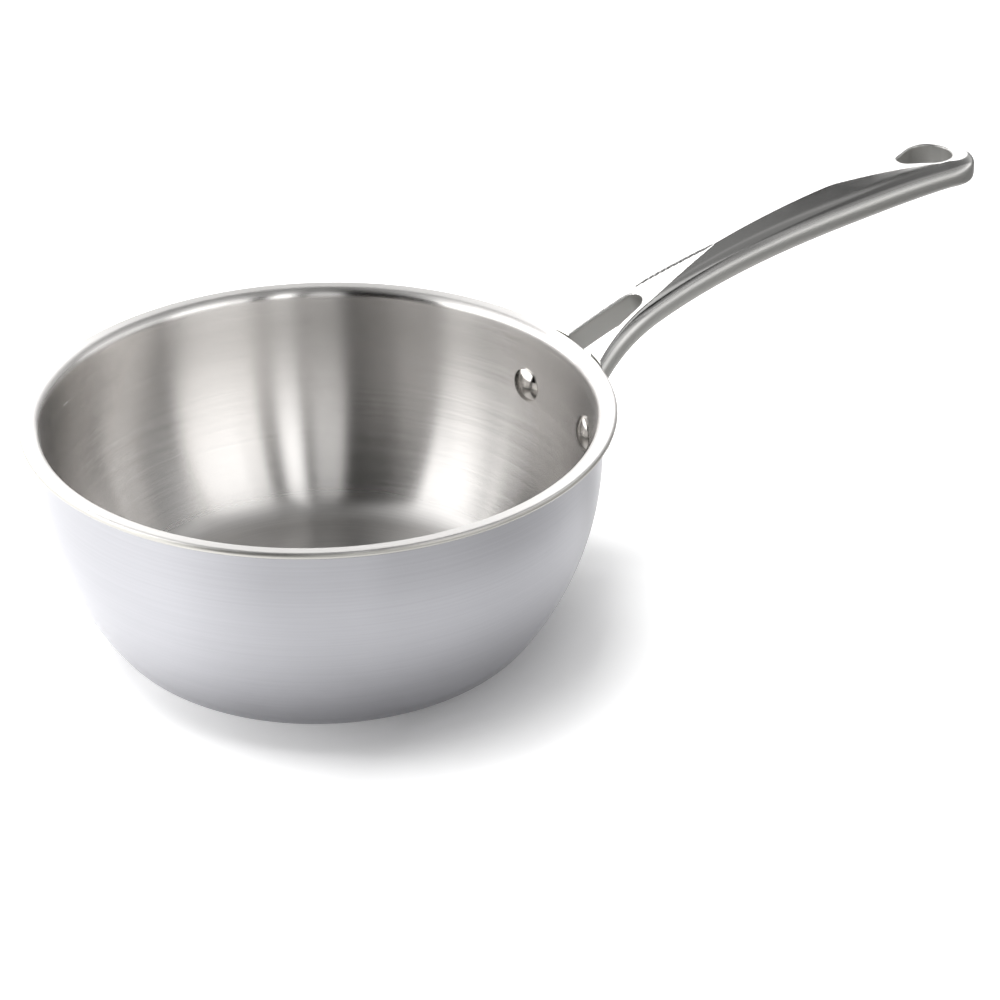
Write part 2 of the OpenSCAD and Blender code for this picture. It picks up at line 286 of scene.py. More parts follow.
@dataclass(frozen=True)
class PolishedSteel:
    """Stainless steel, ground and then buffed nearly to a mirror.

    Buffing leaves a faint haze and hairlines, and the surface is never quite
    even, so reflections are clear but waver a little. Where the buffing wheel
    doesn't reach, in holes and slots, the ground metal stays satin. Its darker
    colour there and under the handle is painted shade.

    Attributes:
        name: The material's name.
        colour: The metal's colour.
        roughness: Roughness of the buffed surface.
        haze_size: Size of the hazier patches in mm.
        wave: Height of the surface's unevenness in mm.
        satin_and_shade_colour: The metal's colour where it isn't buffed, darker as painted shade.
        satin_roughness: Its roughness there.
    """

    name: str
    colour: str
    roughness: float
    haze_size: float
    wave: float
    satin_and_shade_colour: str = "#a8a7a4"
    satin_roughness: float = 0.56

    def material(self) -> bpy.types.Material:
        """Builds the material."""
        material = bpy.data.materials.new(self.name)
        material.use_nodes = True
        tree = material.node_tree
        shader = tree.nodes["Principled BSDF"]
        place = add_node(tree, "ShaderNodeTexCoord").outputs["Object"]
        haze = add_node(tree, "ShaderNodeTexNoise", {
            "Vector": place, "Scale": 1 / (self.haze_size * MM), "Detail": 3.0, "Roughness": 0.6,
        })
        # Hairlines 0.7 mm apart and 25 mm long: real ones are finer than shows
        lines = add_node(tree, "ShaderNodeVectorMath", {
            0: place, 1: (40.0, 1400.0, 1400.0),
        }, operation="MULTIPLY")
        hairs = add_node(tree, "ShaderNodeTexNoise", {"Vector": lines, "Scale": 1.0, "Detail": 2.0})
        worn = add_node(tree, "ShaderNodeMath", {0: hairs, 1: haze}, operation="ADD")
        buffed = add_node(tree, "ShaderNodeMapRange", {
            0: worn, 1: 0.6, 2: 1.4, 3: self.roughness - 0.03, 4: self.roughness + 0.03,
        })
        # Painted shade: this mark also darkens the colour in the hole, the slot, the channel and under the
        # handle
        satin_and_shade = add_node(tree, "ShaderNodeAttribute", attribute_name=SATIN_AND_SHADE).outputs["Fac"]
        gloss = add_node(tree, "ShaderNodeMix", {
            0: satin_and_shade, 2: buffed, 3: self.satin_roughness,
        }, data_type="FLOAT")
        # Painted shade: the marked places get the darker satin colour, while their rougher gloss is the
        # real satin finish
        colour = add_node(tree, "ShaderNodeMix", {
            0: satin_and_shade, 6: linear(self.colour), 7: linear(self.satin_and_shade_colour),
        }, data_type="RGBA").outputs[2]
        bump = add_node(tree, "ShaderNodeBump", {
            "Strength": 0.3, "Distance": self.wave * MM, "Height": haze,
        })
        shader.inputs["Metallic"].default_value = 1.0
        tree.links.new(colour, shader.inputs["Base Color"])
        tree.links.new(gloss.outputs[0], shader.inputs["Roughness"])
        tree.links.new(bump.outputs[0], shader.inputs["Normal"])
        return material


@dataclass
class Turning:
    """The Geometry Nodes tree that turns a half section round the Z axis.

    Attributes:
        steps_around: The number of facets round the axis.
    """

    steps_around: int
    tree: bpy.types.NodeTree = field(init=False)

    def __post_init__(self) -> None:
        """Builds the tree, with named inputs for its counts."""
        self.tree = bpy.data.node_groups.new("turned_round_z", "GeometryNodeTree")
        face = self.tree.interface
        face.new_socket("Half Section", in_out="INPUT", socket_type="NodeSocketGeometry")
        for name in ("Section Points", "Steps Around"):
            face.new_socket(name, in_out="INPUT", socket_type="NodeSocketInt")
        face.new_socket("Finish", in_out="INPUT", socket_type="NodeSocketMaterial")
        face.new_socket("Mesh", in_out="OUTPUT", socket_type="NodeSocketGeometry")
        tree = self.tree
        section, points, around, finish = add_node(tree, "NodeGroupInput").outputs[:4]
        rows = add_node(tree, "ShaderNodeMath", {0: around, 1: 1.0}, operation="ADD")
        grid = add_node(tree, "GeometryNodeMeshGrid", {
            "Size X": 1.0, "Size Y": 1.0, "Vertices X": points, "Vertices Y": rows,
        })
        spot = add_node(tree, "ShaderNodeSeparateXYZ", {
            0: add_node(tree, "GeometryNodeInputPosition"),
        })
        last = add_node(tree, "ShaderNodeMath", {0: points, 1: 1.0}, operation="SUBTRACT")
        index = add_node(tree, "ShaderNodeMapRange", {0: spot.outputs[0], 1: -0.5, 2: 0.5, 3: 0.0, 4: last})
        whole = add_node(tree, "ShaderNodeMath", {0: index}, operation="ROUND")
        angle = add_node(tree, "ShaderNodeMapRange", {
            0: spot.outputs[1], 1: -0.5, 2: 0.5, 3: 0.0, 4: math.tau,
        })
        sampled = add_node(tree, "GeometryNodeSampleIndex", {
            "Geometry": section, "Index": whole,
        }, data_type="FLOAT_VECTOR", domain="POINT")
        tree.links.new(
            add_node(tree, "GeometryNodeInputPosition").outputs[0], sampled.inputs["Value"])
        turned = add_node(tree, "ShaderNodeVectorRotate", {
            "Vector": sampled, "Axis": (0, 0, 1), "Angle": angle,
        }, rotation_type="AXIS_ANGLE")
        placed = add_node(tree, "GeometryNodeSetPosition", {"Geometry": grid, "Position": turned})
        welded = add_node(tree, "GeometryNodeMergeByDistance", {"Geometry": placed, "Distance": 1e-6})
        real = add_node(tree, "GeometryNodeRealizeInstances", {"Geometry": welded})
        dressed = add_node(tree, "GeometryNodeSetMaterial", {"Geometry": real, "Material": finish})
        add_node(tree, "NodeGroupOutput", {0: dressed})

    def turn(self, name: str, section: Sequence[Point], finish: bpy.types.Material) -> bpy.types.Object:
        """Turns one half section into a closed piece.

        Args:
            name: The piece's name.
            section: Points (radius, height) in mm, from the axis back to the axis.
            finish: The material that the piece gets.

        Returns:
            The finished object, a plain mesh.
        """
        line = bpy.data.meshes.new(name + "_section")
        line.from_pydata(
            [(r * MM, 0, z * MM) for r, z in section],
            [(i, i + 1) for i in range(len(section) - 1)], [])
        blank = new_object(name + "_blank", line)
        modifier = blank.modifiers.new("turning", "NODES")
        modifier.node_group = self.tree
        values = {
            "Section Points": len(section), "Steps Around": self.steps_around, "Finish": finish,
        }
        for item in self.tree.interface.items_tree:
            if item.name in values:
                modifier[item.identifier] = values[item.name]
        graph = bpy.context.evaluated_depsgraph_get()
        mesh = bpy.data.meshes.new_from_object(blank.evaluated_get(graph))
        blank.modifiers.remove(modifier)
        bpy.data.objects.remove(blank)
        mesh.name = name
        sharpen(mesh, 35)
        return new_object(name, mesh)


@dataclass
class Wall:
    """The clad wall's half section: base, corner arc, wall arc, band and lip.

    Attributes are the CAD model's sizes in mm.
    """

    rim_d: float = 240
    bowl_h: float = 100
    base_d: float = 150
    corner_r: float = 20
    band_h: float = 13.5
    inner_skin_t: float = 0.5
    core_t: float = 1.7
    outer_skin_t: float = 0.5
    lip_out: float = 5.5
    lip_bend_r: float = 1.5
    lip_slope: float = 5

    def __post_init__(self) -> None:
        """Works out the sizes that follow from the others."""
        self.wall_t = self.inner_skin_t + self.core_t + self.outer_skin_t
        self.body_r = self.rim_d / 2 - self.lip_out
        self.base_r = self.base_d / 2
        self.nose_r = self.wall_t / 2
        self.nose_x = self.rim_d / 2 - self.nose_r
        self.lip_x = self.body_r + self.lip_bend_r
        slope, mid = math.radians(self.lip_slope), self.lip_bend_r + self.nose_r
        rim = (self.nose_x - self.lip_x + mid * math.sin(slope)) / math.cos(slope)
        self.lip_z = self.bowl_h - self.nose_r - mid * math.cos(slope) - rim * math.sin(slope)
        self.arc_top_z = self.lip_z - self.band_h
        run, rise = self.body_r - self.base_r, self.arc_top_z - self.corner_r
        self.wall_r = (run**2 + rise**2 - self.corner_r**2) / (2 * (run - self.corner_r))
        self.arc_x = self.body_r - self.wall_r
        self.tangent = math.degrees(
            math.atan2(self.corner_r - self.arc_top_z, self.base_r - self.arc_x))

    def nose_angle(self, depth: float) -> float:
        """The angle round the lip's nose at which the rim's face at this depth meets it."""
        return self.lip_slope + math.degrees(math.asin(depth / self.nose_r - 1))

    def face(self, depth: float) -> list[Point]:
        """The line at this depth, from the axis out to the end of the lip's bend."""
        line = [(self.base_r * share, depth) for share in (0, 0.06, 0.25, 0.5, 0.75, 0.9)]
        line += arc((self.base_r, self.corner_r), self.corner_r - depth, -90, self.tangent, 20)
        line += arc((self.arc_x, self.arc_top_z), self.wall_r - depth, self.tangent, 0, 44)[1:]
        line += [(self.body_r - depth, self.arc_top_z + self.band_h * s) for s in (0.33, 0.67)]
        line += arc(
            (self.lip_x, self.lip_z), self.lip_bend_r + depth, 180, 90 + self.lip_slope, 14)
        return line

    def layer(self, depth: float, thickness: float) -> list[Point]:
        """One layer's closed half section, from the axis round its edge and back.

        Args:
            depth: Distance of the layer's outer face below the outside.
            thickness: The layer's thickness.

        Returns:
            Points (radius, height) in mm.
        """
        edge = arc(
            (self.nose_x, self.bowl_h - self.nose_r), self.nose_r,
            self.nose_angle(depth), self.nose_angle(depth + thickness), 10)
        return self.face(depth) + edge + self.face(depth + thickness)[::-1]


@dataclass
class CladBowl:
    """The bowl: two stainless skins bonded to an aluminium core."""

    wall: Wall
    turning: Turning

    def build(self) -> list[bpy.types.Object]:
        """Builds and dresses the three layers.

        Returns:
            The layers, from the outside in.
        """
        wall = self.wall
        # Magnetic 18/0 sheet on the outside has a cool tone
        outer = BrushedSteel(
            "magnetic_stainless_brushed", "#a8a8ac", 0.35, 0.85, 0.9, wall.lip_z + 1, 0.24)
        # Food-grade 18/10 sheet inside is a little warmer
        inner = BrushedSteel(
            "food_grade_stainless_brushed", "#dad8d6", 0.25, 1.0, 0.9, wall.lip_z + 2.5, 0.3)
        # Bare aluminium, cut and linished with the lip's edge
        core = BrushedSteel("bare_aluminium_edge", "#b9b7b2", 0.42, 0.5, 0.5, 500, 0.4)
        depth = 0.0
        pieces = []
        for name, thickness, finish, slot, node in (
            ("outer_layer", wall.outer_skin_t, outer, Slot.OUTER, "outer_skin"),
            ("core_layer", wall.core_t, core, Slot.CORE, "aluminium_core"),
            ("inner_layer", wall.inner_skin_t, inner, Slot.INNER, "inner_skin"),
        ):
            piece = self.turning.turn(name, wall.layer(depth, thickness), finish.material())
            pieces.append(settle(piece, slot, node))
            depth += thickness
        return pieces


@dataclass
class CastHandle:
    """The handle: an arched grip, two prongs, a plate and a hanging hole.

    Attributes are the CAD model's sizes in mm, and the roundings that a
    casting has where the CAD model has plain edges. Names that end in out are
    distances past the lip.
    """

    wall: Wall
    handle_l: float = 194
    arch_r: float = 400
    crest_out: float = 198
    root_drop: float = 0.5
    grip_w: float = 37
    grip_h: float = 14.5
    grip_out: float = 140
    tip_h: float = 13.5
    nose_l: float = 20
    nose_n: float = 2.5
    section_n: float = 2.5
    tip_section_n: float = 4.4
    crown_angle: float = 9
    channel_out: float = 46
    channel_l: float = 108
    channel_roof: float = 4
    channel_side: float = 3.6
    channel_n: float = 3
    waist_w: float = 24.5
    waist_h: float = 13
    waist_out: float = 28
    flare_w: float = 11
    slot_end_out: float = 29
    slot_end_r: float = 5.5
    slot_mouth_w: float = 20
    flat_tip_out: float = 65
    flat_w: float = 15
    flat_depth: float = 1.2
    flat_step: float = 0.3
    hole_r: float = 10
    hole_small_r: float = 4.5
    hole_l: float = 26
    hole_margin: float = 9
    hole_flat_out: float = 123
    hole_flat_depth: float = 1.6
    plate_l: float = 74
    plate_h: float = 24
    plate_t: float = 6.5
    plate_drop: float = 25
    lip_gap: float = 0.6
    hole_edge: float = 0.8
    slot_edge: float = 0.8
    flat_edge: float = 0.12
    channel_edge: float = 1.2
    plate_edge: float = 2.0
    root_fillet: float = 6.0
    wall_edge: float = 0.4
    # Where the handle is satin, with a darker colour that is painted shade in its hollows and under it
    satin_and_shade_from: float = 0.1
    satin_and_shade_to: float = 0.3
    satin_and_shade_below: float = 1.0

    def __post_init__(self) -> None:
        """Works out the sizes that follow from the others."""
        rim_r = self.wall.rim_d / 2
        self.tip_x = rim_r + self.handle_l
        self.crest_x = rim_r + self.crest_out
        self.grip_x = rim_r + self.grip_out
        self.waist_x = rim_r + self.waist_out
        self.slot_end_x = rim_r + self.slot_end_out
        self.flat_tip_x = rim_r + self.flat_tip_out
        self.hole_flat_x = rim_r + self.hole_flat_out
        self.channel_x = rim_r + self.channel_out + self.channel_l / 2
        self.plate_z = self.wall.bowl_h - self.plate_drop
        root_angle = math.asin((self.crest_x - self.wall.body_r) / self.arch_r)
        self.arch_z = self.wall.bowl_h - self.root_drop - self.arch_r * math.cos(root_angle)
        self.crest_z = self.arch_z + self.arch_r
        self.plate_r = self.wall.body_r + self.plate_t
        self.slot_x = self.slot_end_x - self.slot_end_r
        self.hole_x = self.tip_x - self.hole_margin - self.hole_r
        self.hole_span = self.hole_l - self.hole_r - self.hole_small_r

    def flare(self, x: np.ndarray) -> np.ndarray:
        """How much wider each side is at x, towards the wall."""
        run = self.waist_x - self.wall.body_r
        return self.flare_w * (np.maximum(self.waist_x - x, 0) / run) ** 2

    def half_width(self, x: np.ndarray) -> np.ndarray:
        """Half the rounded section's width at x, before the nose and the flare."""
        share = smooth_step((x - self.waist_x) / (self.grip_x - self.waist_x))
        return self.waist_w / 2 + (self.grip_w - self.waist_w) / 2 * share

    def thickness(self, x: np.ndarray) -> np.ndarray:
        """The rounded section's thickness at x, below the crown."""
        swell = smooth_step((x - self.waist_x) / (self.grip_x - self.waist_x))
        taper = smooth_step((x - self.grip_x) / (self.tip_x - self.grip_x))
        return self.waist_h + (self.grip_h - self.waist_h) * swell - (self.grip_h - self.tip_h) * taper

    def crown(self, x: np.ndarray, side: np.ndarray) -> tuple[np.ndarray, np.ndarray]:
        """The crown: two slanting faces that meet in a ridge on the rounded section.

        Args:
            x: Places along the handle.
            side: Distances from the ridge.

        Returns:
            The ridge's height over the rounded section, and how far the crown
            lies over that section at this distance from the ridge.
        """
        half_w, half_h, n = self.half_width(x), self.thickness(x) / 2, self.section_n
        slope = math.tan(math.radians(self.crown_angle))
        lean = (slope * half_w / half_h) ** (1 / (n - 1))
        level = (1 + lean**n) ** (-1 / n)
        reach = half_w * lean * level
        rise = reach * slope - half_h * (1 - level)
        round_top = half_h * (1 - np.maximum(1 - (side / half_w) ** n, 0) ** (1 / n))
        return rise, np.where(side < reach, rise + round_top - side * slope, 0)

    def bottom(self, x: np.ndarray) -> np.ndarray:
        """How far the underside lies below the ridge at x."""
        return self.crown(x, np.zeros_like(x))[0] + self.thickness(x)

    def unrolled(self, px: np.ndarray, pz: np.ndarray) -> tuple[np.ndarray, np.ndarray]:
        """The place along the ridge, and the depth below it, of a place in the XZ plane."""
        over, up = self.crest_x - px, pz - self.arch_z
        along = self.crest_x - self.arch_r * np.sin(np.arctan2(over, up))
        return along, self.arch_r - np.hypot(over, up)

    def top_frame(self, x: float) -> tuple[float, float, float]:
        """The height of the top line at x, and the cosine and sine of its slope."""
        sine = (self.crest_x - x) / self.arch_r
        cosine = math.sqrt(1 - sine * sine)
        return self.arch_z + self.arch_r * cosine, cosine, sine

    def blank(self, x: np.ndarray, w: np.ndarray, q: np.ndarray) -> np.ndarray:
        """Distance to the grip and prongs, from the place along, across and below the ridge."""
        half_w = self.half_width(x)
        half_h = self.thickness(x) / 2
        side = np.maximum(np.abs(w) - self.flare(x), 0)
        t = np.maximum(x - (self.tip_x - self.nose_l), 0) / self.nose_l
        rise, lift = self.crown(x, side)
        upper = np.clip(2 - 2 * q / half_h, 0, 1)
        below = q - rise + lift * upper * (1 - smooth_step(t))
        b = self.nose_n
        across = side / half_w
        u = (across**b + t**b) ** (1 / b) + 1e-6
        v = np.abs(below - half_h) / half_h + 1e-6
        n = self.section_n + (self.tip_section_n - self.section_n) * smooth_step(t)
        total = u**n + v**n
        value = total ** (1 / n) - 1
        slope_u = u ** (1 - b) * np.hypot(across ** (b - 1) / half_w, t ** (b - 1) / self.nose_l)
        slope = total ** (1 / n - 1) * np.hypot(u ** (n - 1) * slope_u, v ** (n - 1) / half_h)
        return value / np.maximum(slope, 1e-3)

    def flats(self, x: np.ndarray, w: np.ndarray, q: np.ndarray) -> np.ndarray:
        """Distance out of the two flats on top, at the fork and round the hole."""
        share = (self.flat_tip_x - x) / (self.flat_tip_x - self.slot_end_x)
        edge = self.flat_w / 2 * share + self.flare(x) - np.abs(w)
        fork = np.minimum(self.flat_depth * share + self.flat_step - q, edge)
        share = (x - self.hole_flat_x) / (self.hole_x - self.hole_flat_x)
        return np.maximum(fork, self.hole_flat_depth * share - q)

    def channel(self, x: np.ndarray, w: np.ndarray, q: np.ndarray) -> np.ndarray:
        """Distance to the channel in the underside, which makes the casting lighter."""
        n = self.channel_n
        bottom = self.bottom(x)
        sizes = (self.half_width(x) - self.channel_side, bottom - self.channel_roof, self.channel_l / 2)
        places = (np.abs(w), np.maximum(bottom - q, 0), np.abs(x - self.channel_x))
        total = sum((place / size) ** n for place, size in zip(places, sizes)) + 1e-9
        slope = total ** (1 / n - 1) * np.sqrt(sum(
            ((place / size) ** (n - 1) / size) ** 2 for place, size in zip(places, sizes)))
        return (total ** (1 / n) - 1) / np.maximum(slope, 1e-3)

    def slot_distance(self, px: np.ndarray, w: np.ndarray, pz: np.ndarray) -> np.ndarray:
        """Distance to the slot, a round end with two slanting sides."""
        top, cosine, sine = self.top_frame(self.slot_x)
        along = (px - self.slot_x) * cosine + (pz - top) * sine
        run = (self.slot_x - self.wall.body_r) / cosine
        slant = math.atan((self.slot_mouth_w / 2 - self.slot_end_r) / run)
        side = np.abs(w) * math.cos(slant) + along * math.sin(slant) - self.slot_end_r
        straight = np.abs(w) * math.sin(slant) - along * math.cos(slant) > 0
        return np.where(straight, side, np.hypot(along, w) - self.slot_end_r)

    def hole_distance(self, px: np.ndarray, w: np.ndarray, pz: np.ndarray) -> np.ndarray:
        """Distance to the hanging hole, two round ends joined by tangents."""
        top, cosine, sine = self.top_frame(self.hole_x)
        back = -((px - self.hole_x) * cosine + (pz - top) * sine)
        side = np.abs(w)
        b = (self.hole_r - self.hole_small_r) / self.hole_span
        a = math.sqrt(1 - b * b)
        k = -b * side + a * back
        large = np.hypot(side, back) - self.hole_r
        small = np.hypot(side, back - self.hole_span) - self.hole_small_r
        between = a * side + b * back - self.hole_r
        return np.where(k < 0, large, np.where(k > a * self.hole_span, small, between))

    def distance(self, px: np.ndarray, py: np.ndarray, pz: np.ndarray) -> np.ndarray:
        """Distance to the handle's surface in mm, less than 0 inside.

        Args:
            px: Places along the handle.
            py: Places across it.
            pz: Heights.

        Returns:
            The distances.
        """
        wall = self.wall
        x, q = self.unrolled(px, pz)
        grip = smooth_max(self.blank(x, py, q), self.flats(x, py, q), self.flat_edge)
        grip = smooth_max(grip, -self.channel(x, py, q), self.channel_edge)
        grip = smooth_max(grip, -self.slot_distance(px, py, pz), self.slot_edge)
        grip = smooth_max(grip, -self.hole_distance(px, py, pz), self.hole_edge)
        radius = np.hypot(px, py)
        ends = np.maximum(np.abs(py) - (self.plate_l - self.plate_h) / 2, 0)
        outline = np.hypot(ends, pz - self.plate_z) - self.plate_h / 2
        plate = smooth_max(radius - self.plate_r, outline, self.plate_edge)
        solid = smooth_min(grip, plate, self.root_fillet)
        drop = np.clip(wall.arc_top_z - pz, 0, wall.wall_r)
        wall_x = wall.arc_x + np.sqrt(wall.wall_r**2 - drop**2)
        step_z = wall.lip_z - self.lip_gap
        step = np.maximum(radius - wall.rim_d / 2 - self.lip_gap, step_z - pz)
        bowl = np.minimum(radius - wall_x, step)
        return smooth_max(solid, -bowl, self.wall_edge)

    def near(self, xs: np.ndarray, ys: np.ndarray, zs: np.ndarray) -> np.ndarray:
        """Which places of a grid may be near the handle's surface."""
        q = self.arch_r - np.hypot(self.crest_x - xs[:, None], zs[None, :] - self.arch_z)
        half_w = self.half_width(xs) + self.flare(xs) + 3
        arch = (q > -3) & (q < self.grip_h + 4)
        grip = arch[:, None, :] & (np.abs(ys)[None, :] < half_w[:, None])[:, :, None]
        low = np.abs(zs - self.plate_z) < self.plate_h / 2 + 9
        plate = (xs < self.plate_r + 9)[:, None, None] & low[None, None, :]
        return grip | plate

    def mark_satin_and_shade(self, mesh: bpy.types.Mesh) -> None:
        """Marks the slot's, the hole's and the channel's walls, and in part the underside, as satin metal
        whose darker colour is painted shade.
        """
        places = np.empty(len(mesh.vertices) * 3, np.float32)
        mesh.vertices.foreach_get("co", places)
        px, py, pz = places.reshape(-1, 3).T / MM
        x, q = self.unrolled(px, pz)
        depth = np.minimum(self.slot_distance(px, py, pz), self.hole_distance(px, py, pz))
        depth = np.minimum(depth, self.channel(x, py, q))
        share = 1 - smooth_step((depth - self.satin_and_shade_from) / (self.satin_and_shade_to - self.satin_and_shade_from))
        # Painted shade: the underside gets the darker satin colour, standing for the shade under the handle
        share = np.maximum(share, self.satin_and_shade_below * smooth_step(q / self.bottom(x) * 3.2 - 0.5))
        mesh.attributes.new(SATIN_AND_SHADE, "FLOAT", "POINT").data.foreach_set("value", share.astype(np.float32))

    def build(self) -> bpy.types.Object:
        """Meshes the handle and dresses it.

        Returns:
            The finished object.
        """
        cell = 0.6
        side = self.plate_l / 2 + 2
        xs = np.arange(self.wall.body_r - 12, self.tip_x + 3, cell)
        # The ridge runs through the middle of a cell, so that points lie along it
        rows = math.ceil(side / cell)
        ys = (np.arange(-rows, rows) + 0.5) * cell
        zs = np.arange(self.plate_z - self.plate_h / 2 - 3, self.crest_z + 3, cell)
        mask = self.near(xs, ys, zs)
        values = np.full(mask.shape, 1.0, np.float32)
        i, j, k = np.nonzero(mask)
        values[mask] = self.distance(xs[i], ys[j], zs[k])
        points, quads = surface_net(values, np.array([xs[0], ys[0], zs[0]]), cell)
        points = pull_to_surface(points, self.distance)
        mesh = bpy.data.meshes.new("cast_handle")
        mesh.from_pydata((points * MM).tolist(), [], quads.tolist())
        # Cast 18/10 stainless, mirror polished
        finish = PolishedSteel("cast_stainless_polished", "#d6d5d3", 0.14, 9, 0.01)
        mesh.materials.append(finish.material())
        sharpen(mesh, 180)
        self.mark_satin_and_shade(mesh)
        return settle(new_object("cast_handle", mesh), Slot.HANDLE, "handle")


def surface_net(
    values: np.ndarray, origin: np.ndarray, cell: float
) -> tuple[np.ndarray, np.ndarray]:
    """Meshes the zero surface of a grid of distances, one point a crossed cell.

    Args:
        values: The distances at the grid's corners.
        origin: The place of the grid's first corner.
        cell: The grid's spacing.

    Returns:
        The points, and four point numbers for each face.
    """
    inside = values < 0
    shape = values.shape
    crossings, cells, quads = [], [], []
    for axis in range(3):
        step = np.eye(3, dtype=int)[axis]
        lower = tuple(slice(0, -1) if a == axis else slice(1, -1) for a in range(3))
        upper = tuple(slice(1, None) if a == axis else slice(1, -1) for a in range(3))
        start = np.argwhere(inside[lower] != inside[upper]) + (1 - step)
        low = values[tuple(start.T)]
        high = values[tuple((start + step).T)]
        place = start + step * (low / (low - high))[:, None]
        one, two = np.eye(3, dtype=int)[[(axis + 1) % 3, (axis + 2) % 3]]
        ring = [start, start - one, start - one - two, start - two]
        numbers = np.stack([np.ravel_multi_index(tuple(c.T), shape) for c in ring], axis=1)
        numbers[low < 0] = numbers[low < 0][:, ::-1]
        quads.append(numbers)
        for column in range(4):
            crossings.append(place)
            cells.append(numbers[:, column])
    used, order = np.unique(np.concatenate(cells), return_inverse=True)
    place = np.concatenate(crossings)
    count = np.bincount(order)
    points = np.stack([np.bincount(order, place[:, a]) / count for a in range(3)], axis=1)
    faces = np.searchsorted(used, np.concatenate(quads))
    return origin + points * cell, faces


def pull_to_surface(points: np.ndarray, distance: Field, rounds: int = 3) -> np.ndarray:
    """Moves points on to the zero surface of a distance, along its slope."""
    reach = 0.02
    for _ in range(rounds):
        value = distance(*points.T)
        slope = np.stack([
            (distance(*(points + move).T) - distance(*(points - move).T)) / (2 * reach)
            for move in np.eye(3) * reach
        ], axis=1)
        steepness = np.maximum((slope**2).sum(axis=1), 0.05)
        shift = slope * (value / steepness)[:, None]
        points = points - np.clip(shift, -0.3, 0.3)
    return points


@dataclass
class Rivets:
    """Two rivets through the wall and the handle's plate.

    Attributes are the CAD model's sizes in mm.
    """

    wall: Wall
    turning: Turning
    plate_t: float = 6.5
    drop: float = 28
    angle: float = 26
    shank_d: float = 6.4
    head_d: float = 15
    head_h: float = 3.4
    tail_d: float = 10
    tail_h: float = 2
    head_rim_h: float = 0.8
    tail_rim_h: float = 0.4

    def dome(self, d: float, h: float, rim: float) -> list[Point]:
        """Half of a domed end above a level, from the axis out and down its rim."""
        rise = h - rim
        radius = (d * d / 4 + rise * rise) / (2 * rise)
        spread = math.degrees(math.asin(d / 2 / radius))
        return arc((0, h - radius), radius, 90, 90 - spread, 14) + [(d / 2, -rim)]

    def section(self) -> list[Point]:
        """The rivet's half section, with its head up and its seat at 0."""
        grip = self.wall.wall_t + self.plate_t
        head = self.dome(self.head_d, self.head_h, self.head_rim_h)
        tail = self.dome(self.tail_d, self.tail_h, self.tail_rim_h)
        shank = [(self.shank_d / 2, -self.head_rim_h)]
        shank += [(self.shank_d / 2, self.tail_rim_h - grip)]
        return head + shank + [(r, -grip - z) for r, z in tail[::-1]]

    def build(self) -> list[bpy.types.Object]:
        """Builds both rivets.

        Returns:
            The left rivet and the right one.
        """
        # Stainless rod, cold headed and polished
        finish = PolishedSteel("stainless_rod_polished", "#c8c5c1", 0.12, 4, 0.01).material()
        seat = (self.wall.body_r - self.wall.wall_t) * MM
        pieces = []
        for name, side, node in (("left_rivet", 1, "rivet_left"), ("right_rivet", -1, "rivet_right")):
            piece = self.turning.turn(name, self.section(), finish)
            inward = Matrix.Rotation(math.radians(-90), 4, "Y")
            place = Matrix.Translation((seat, 0, (self.wall.bowl_h - self.drop) * MM)) @ inward
            spin = Matrix.Rotation(math.radians(side * self.angle / 2), 4, "Z")
            piece.data.transform(spin @ place)
            pieces.append(settle(piece, Slot.RIVETS, node))
        return pieces


